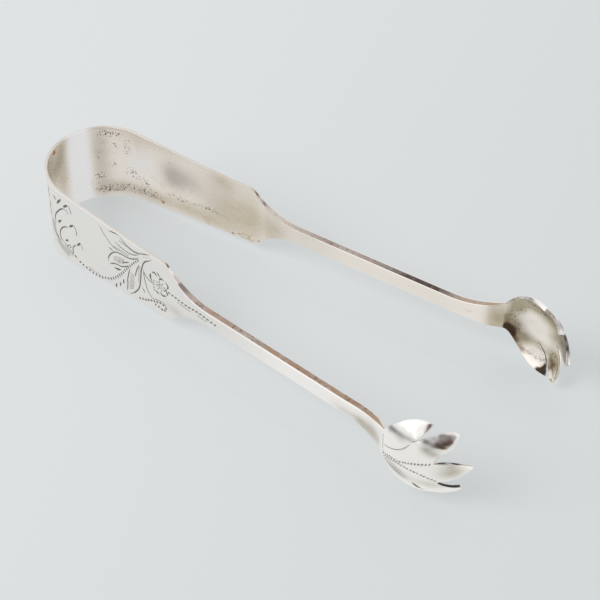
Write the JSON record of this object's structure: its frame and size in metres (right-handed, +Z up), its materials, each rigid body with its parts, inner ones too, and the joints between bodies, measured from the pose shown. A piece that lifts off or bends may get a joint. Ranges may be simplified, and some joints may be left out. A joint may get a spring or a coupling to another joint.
{
  "type": "sugar tongs",
  "caption": "Sprung silver sugar tongs with an engraved bow, slim arms and claw ends; squeezing the bow brings the claws together.",
  "frame": {"origin": "middle of the tongs' length and width, on the table they lie on", "axes": "+X runs from the crown of the bow to the claws, +Y from the near side to the far side across the opening, +Z up from the table, across the band's depth"},
  "size_m": [0.1494, 0.0594, 0.0247],
  "materials": {
    "band_silver": "polished silver, worn, pale outside and warm with tarnish inside, engraved",
    "arm_silver": "polished silver, worn, warm tarnish on the edges",
    "claw_silver": "bright polished silver, engraved lines, dark tarnish at the root of the hollow"
  },
  "bodies": {
    "bow": {"bow_spring": "band_silver"},
    "near_side": {"near_arm": "arm_silver", "near_claw": "claw_silver"},
    "far_side": {"far_arm": "arm_silver", "far_claw": "claw_silver"}
  },
  "joints": [
    {"name": "near_flex", "type": "hinge", "parent": "bow", "child": "near_side", "pos_m": [-0.06912, -0.00946, 0.01235], "axis": [0.003, 0, 1], "range_deg": [0, 8.4], "stiffness_Nm_per_rad": 1.3, "deforming": ["bow_spring"]},
    {"name": "far_flex", "type": "hinge", "parent": "bow", "child": "far_side", "pos_m": [-0.06912, 0.00946, 0.01235], "axis": [-0.003, 0, -1], "range_deg": [0, 8.4], "stiffness_Nm_per_rad": 1.3, "deforming": ["bow_spring"]}
  ],
  "couplings": [
    {"joint": "far_flex", "follows": "near_flex", "ratio": 1}
  ]
}
